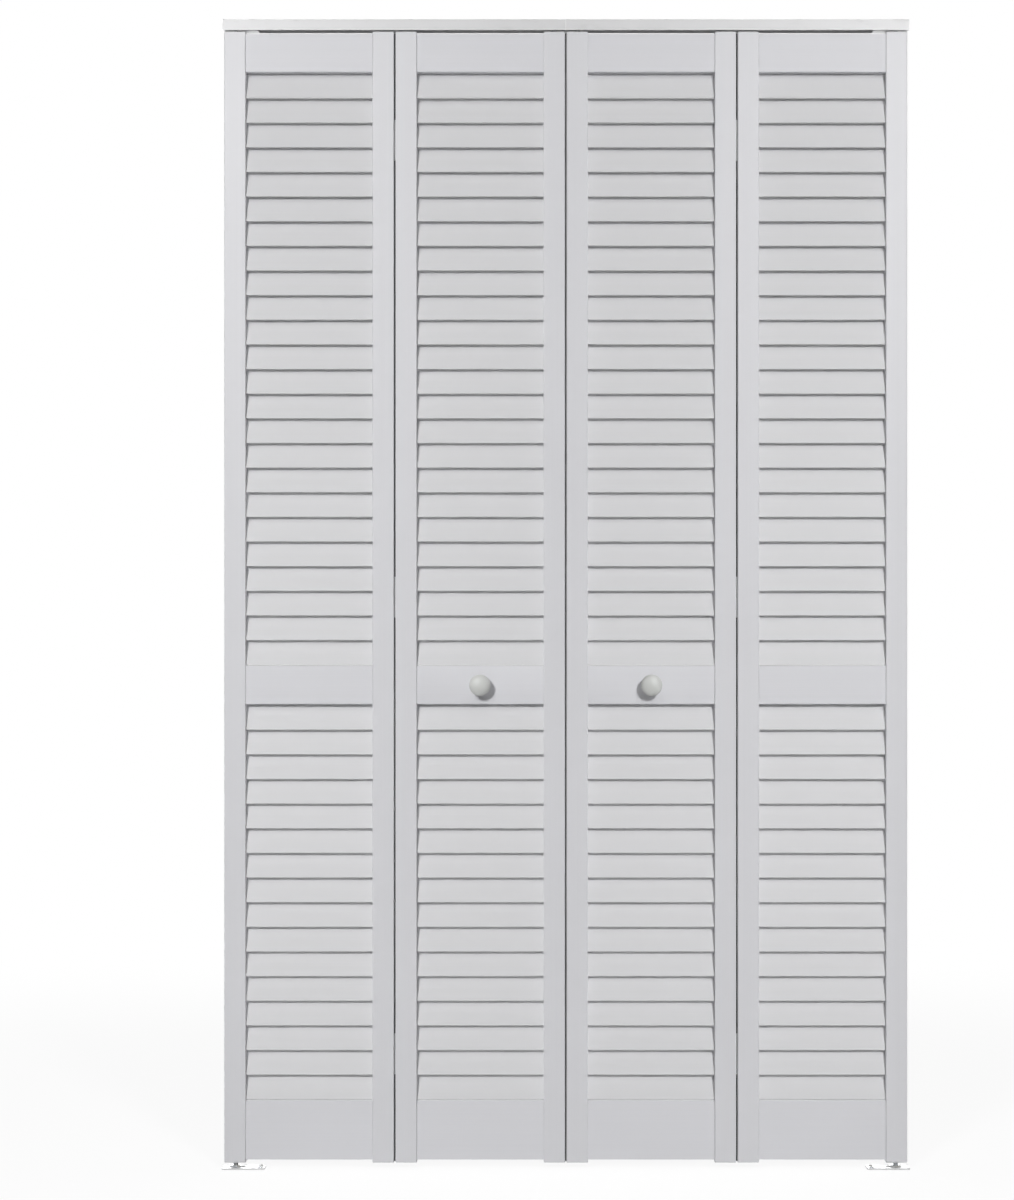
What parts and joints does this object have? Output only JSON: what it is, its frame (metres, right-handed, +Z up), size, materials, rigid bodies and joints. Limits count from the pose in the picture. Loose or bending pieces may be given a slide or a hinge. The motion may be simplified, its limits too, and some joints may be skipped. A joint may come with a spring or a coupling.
{
  "type": "bifold closet door",
  "caption": "Louvred bifold closet door whose hinged leaves fold out and slide along a head track, with round pull knobs on the leading leaves.",
  "frame": {"origin": "middle of the head track's top face, where its two lengths meet, which is screwed to the head of the opening", "axes": "+X across the opening, to the right seen from the room; +Y from the room into the closet; +Z up"},
  "size_m": [1.2164, 0.0623, 2.032],
  "materials": {
    "vinyl": "satin white",
    "louvre": "satin white",
    "knob": "soft gloss, warm white",
    "white_steel": "white powder coat",
    "zinc": "bright zinc plate",
    "nylon": "natural nylon"
  },
  "bodies": {
    "root": {"left_head_track": "white_steel", "left_top_bracket": "white_steel", "left_floor_bracket": "white_steel", "right_head_track": "white_steel", "right_top_bracket": "white_steel", "right_floor_bracket": "white_steel"},
    "left_pivot_leaf": {"left_pivot_leaf_jamb_stile": "vinyl", "left_pivot_leaf_hinge_stile": "vinyl", "left_pivot_leaf_top_rail": "vinyl", "left_pivot_leaf_middle_rail": "vinyl", "left_pivot_leaf_bottom_rail": "vinyl", "left_pivot_leaf_upper_louvres": "louvre", "left_pivot_leaf_lower_louvres": "louvre", "left_top_hinge_pinned_plate": "white_steel", "left_middle_hinge_pinned_plate": "white_steel", "left_bottom_hinge_pinned_plate": "white_steel", "left_top_pin_spring": "zinc"},
    "left_lead_leaf": {"left_lead_leaf_hinge_stile": "vinyl", "left_lead_leaf_meeting_stile": "vinyl", "left_lead_leaf_top_rail": "vinyl", "left_lead_leaf_middle_rail": "vinyl", "left_lead_leaf_bottom_rail": "vinyl", "left_lead_leaf_upper_louvres": "louvre", "left_lead_leaf_lower_louvres": "louvre", "left_top_hinge_turning_plate": "white_steel", "left_middle_hinge_turning_plate": "white_steel", "left_bottom_hinge_turning_plate": "white_steel", "left_knob": "knob", "left_knob_screw": "zinc", "left_guide_stem": "zinc"},
    "left_top_pin": {"left_top_pin": "zinc"},
    "left_foot_pin": {"left_foot_pin": "zinc"},
    "left_guide_wheel": {"left_guide_wheel": "nylon"},
    "right_pivot_leaf": {"right_pivot_leaf_jamb_stile": "vinyl", "right_pivot_leaf_hinge_stile": "vinyl", "right_pivot_leaf_top_rail": "vinyl", "right_pivot_leaf_middle_rail": "vinyl", "right_pivot_leaf_bottom_rail": "vinyl", "right_pivot_leaf_upper_louvres": "louvre", "right_pivot_leaf_lower_louvres": "louvre", "right_top_hinge_pinned_plate": "white_steel", "right_middle_hinge_pinned_plate": "white_steel", "right_bottom_hinge_pinned_plate": "white_steel", "right_top_pin_spring": "zinc"},
    "right_lead_leaf": {"right_lead_leaf_hinge_stile": "vinyl", "right_lead_leaf_meeting_stile": "vinyl", "right_lead_leaf_top_rail": "vinyl", "right_lead_leaf_middle_rail": "vinyl", "right_lead_leaf_bottom_rail": "vinyl", "right_lead_leaf_upper_louvres": "louvre", "right_lead_leaf_lower_louvres": "louvre", "right_top_hinge_turning_plate": "white_steel", "right_middle_hinge_turning_plate": "white_steel", "right_bottom_hinge_turning_plate": "white_steel", "right_knob": "knob", "right_knob_screw": "zinc", "right_guide_stem": "zinc"},
    "right_top_pin": {"right_top_pin": "zinc"},
    "right_foot_pin": {"right_foot_pin": "zinc"},
    "right_guide_wheel": {"right_guide_wheel": "nylon"}
  },
  "joints": [
    {"name": "left_leaf_pivot", "type": "hinge", "parent": "root", "child": "left_pivot_leaf", "pos_m": [-0.58415, 0, -1], "axis": [0, 0, -1], "range_deg": [0, 85]},
    {"name": "left_leaf_fold", "type": "hinge", "parent": "left_pivot_leaf", "child": "left_lead_leaf", "pos_m": [-0.30215, 0.0176, -1], "axis": [0, 0, 1], "range_deg": [0, 170]},
    {"name": "left_top_pin_press", "type": "slide", "parent": "left_pivot_leaf", "child": "left_top_pin", "axis": [0, 0, -1], "range_m": [0, 0.0095], "stiffness_N_per_m": 500, "springref_m": -0.012, "deforming": ["left_top_pin_spring"]},
    {"name": "left_foot_pin_height", "type": "slide", "parent": "left_pivot_leaf", "child": "left_foot_pin", "axis": [0, 0, 1], "range_m": [0, 0.006]},
    {"name": "left_wheel_spin", "type": "hinge", "parent": "left_lead_leaf", "child": "left_guide_wheel", "pos_m": [-0.02015, 0, -0.012], "axis": [0, 0, 1], "continuous": true},
    {"name": "right_leaf_pivot", "type": "hinge", "parent": "root", "child": "right_pivot_leaf", "pos_m": [0.58415, 0, -1], "axis": [0, 0, 1], "range_deg": [0, 85]},
    {"name": "right_leaf_fold", "type": "hinge", "parent": "right_pivot_leaf", "child": "right_lead_leaf", "pos_m": [0.30215, 0.0176, -1], "axis": [0, 0, -1], "range_deg": [0, 170]},
    {"name": "right_top_pin_press", "type": "slide", "parent": "right_pivot_leaf", "child": "right_top_pin", "axis": [0, 0, -1], "range_m": [0, 0.0095], "stiffness_N_per_m": 500, "springref_m": -0.012, "deforming": ["right_top_pin_spring"]},
    {"name": "right_foot_pin_height", "type": "slide", "parent": "right_pivot_leaf", "child": "right_foot_pin", "axis": [0, 0, 1], "range_m": [0, 0.006]},
    {"name": "right_wheel_spin", "type": "hinge", "parent": "right_lead_leaf", "child": "right_guide_wheel", "pos_m": [0.02015, 0, -0.012], "axis": [0, 0, 1], "continuous": true}
  ],
  "couplings": [
    {"joint": "left_leaf_fold", "follows": "left_leaf_pivot", "ratio": 2},
    {"joint": "right_leaf_fold", "follows": "right_leaf_pivot", "ratio": 2}
  ]
}
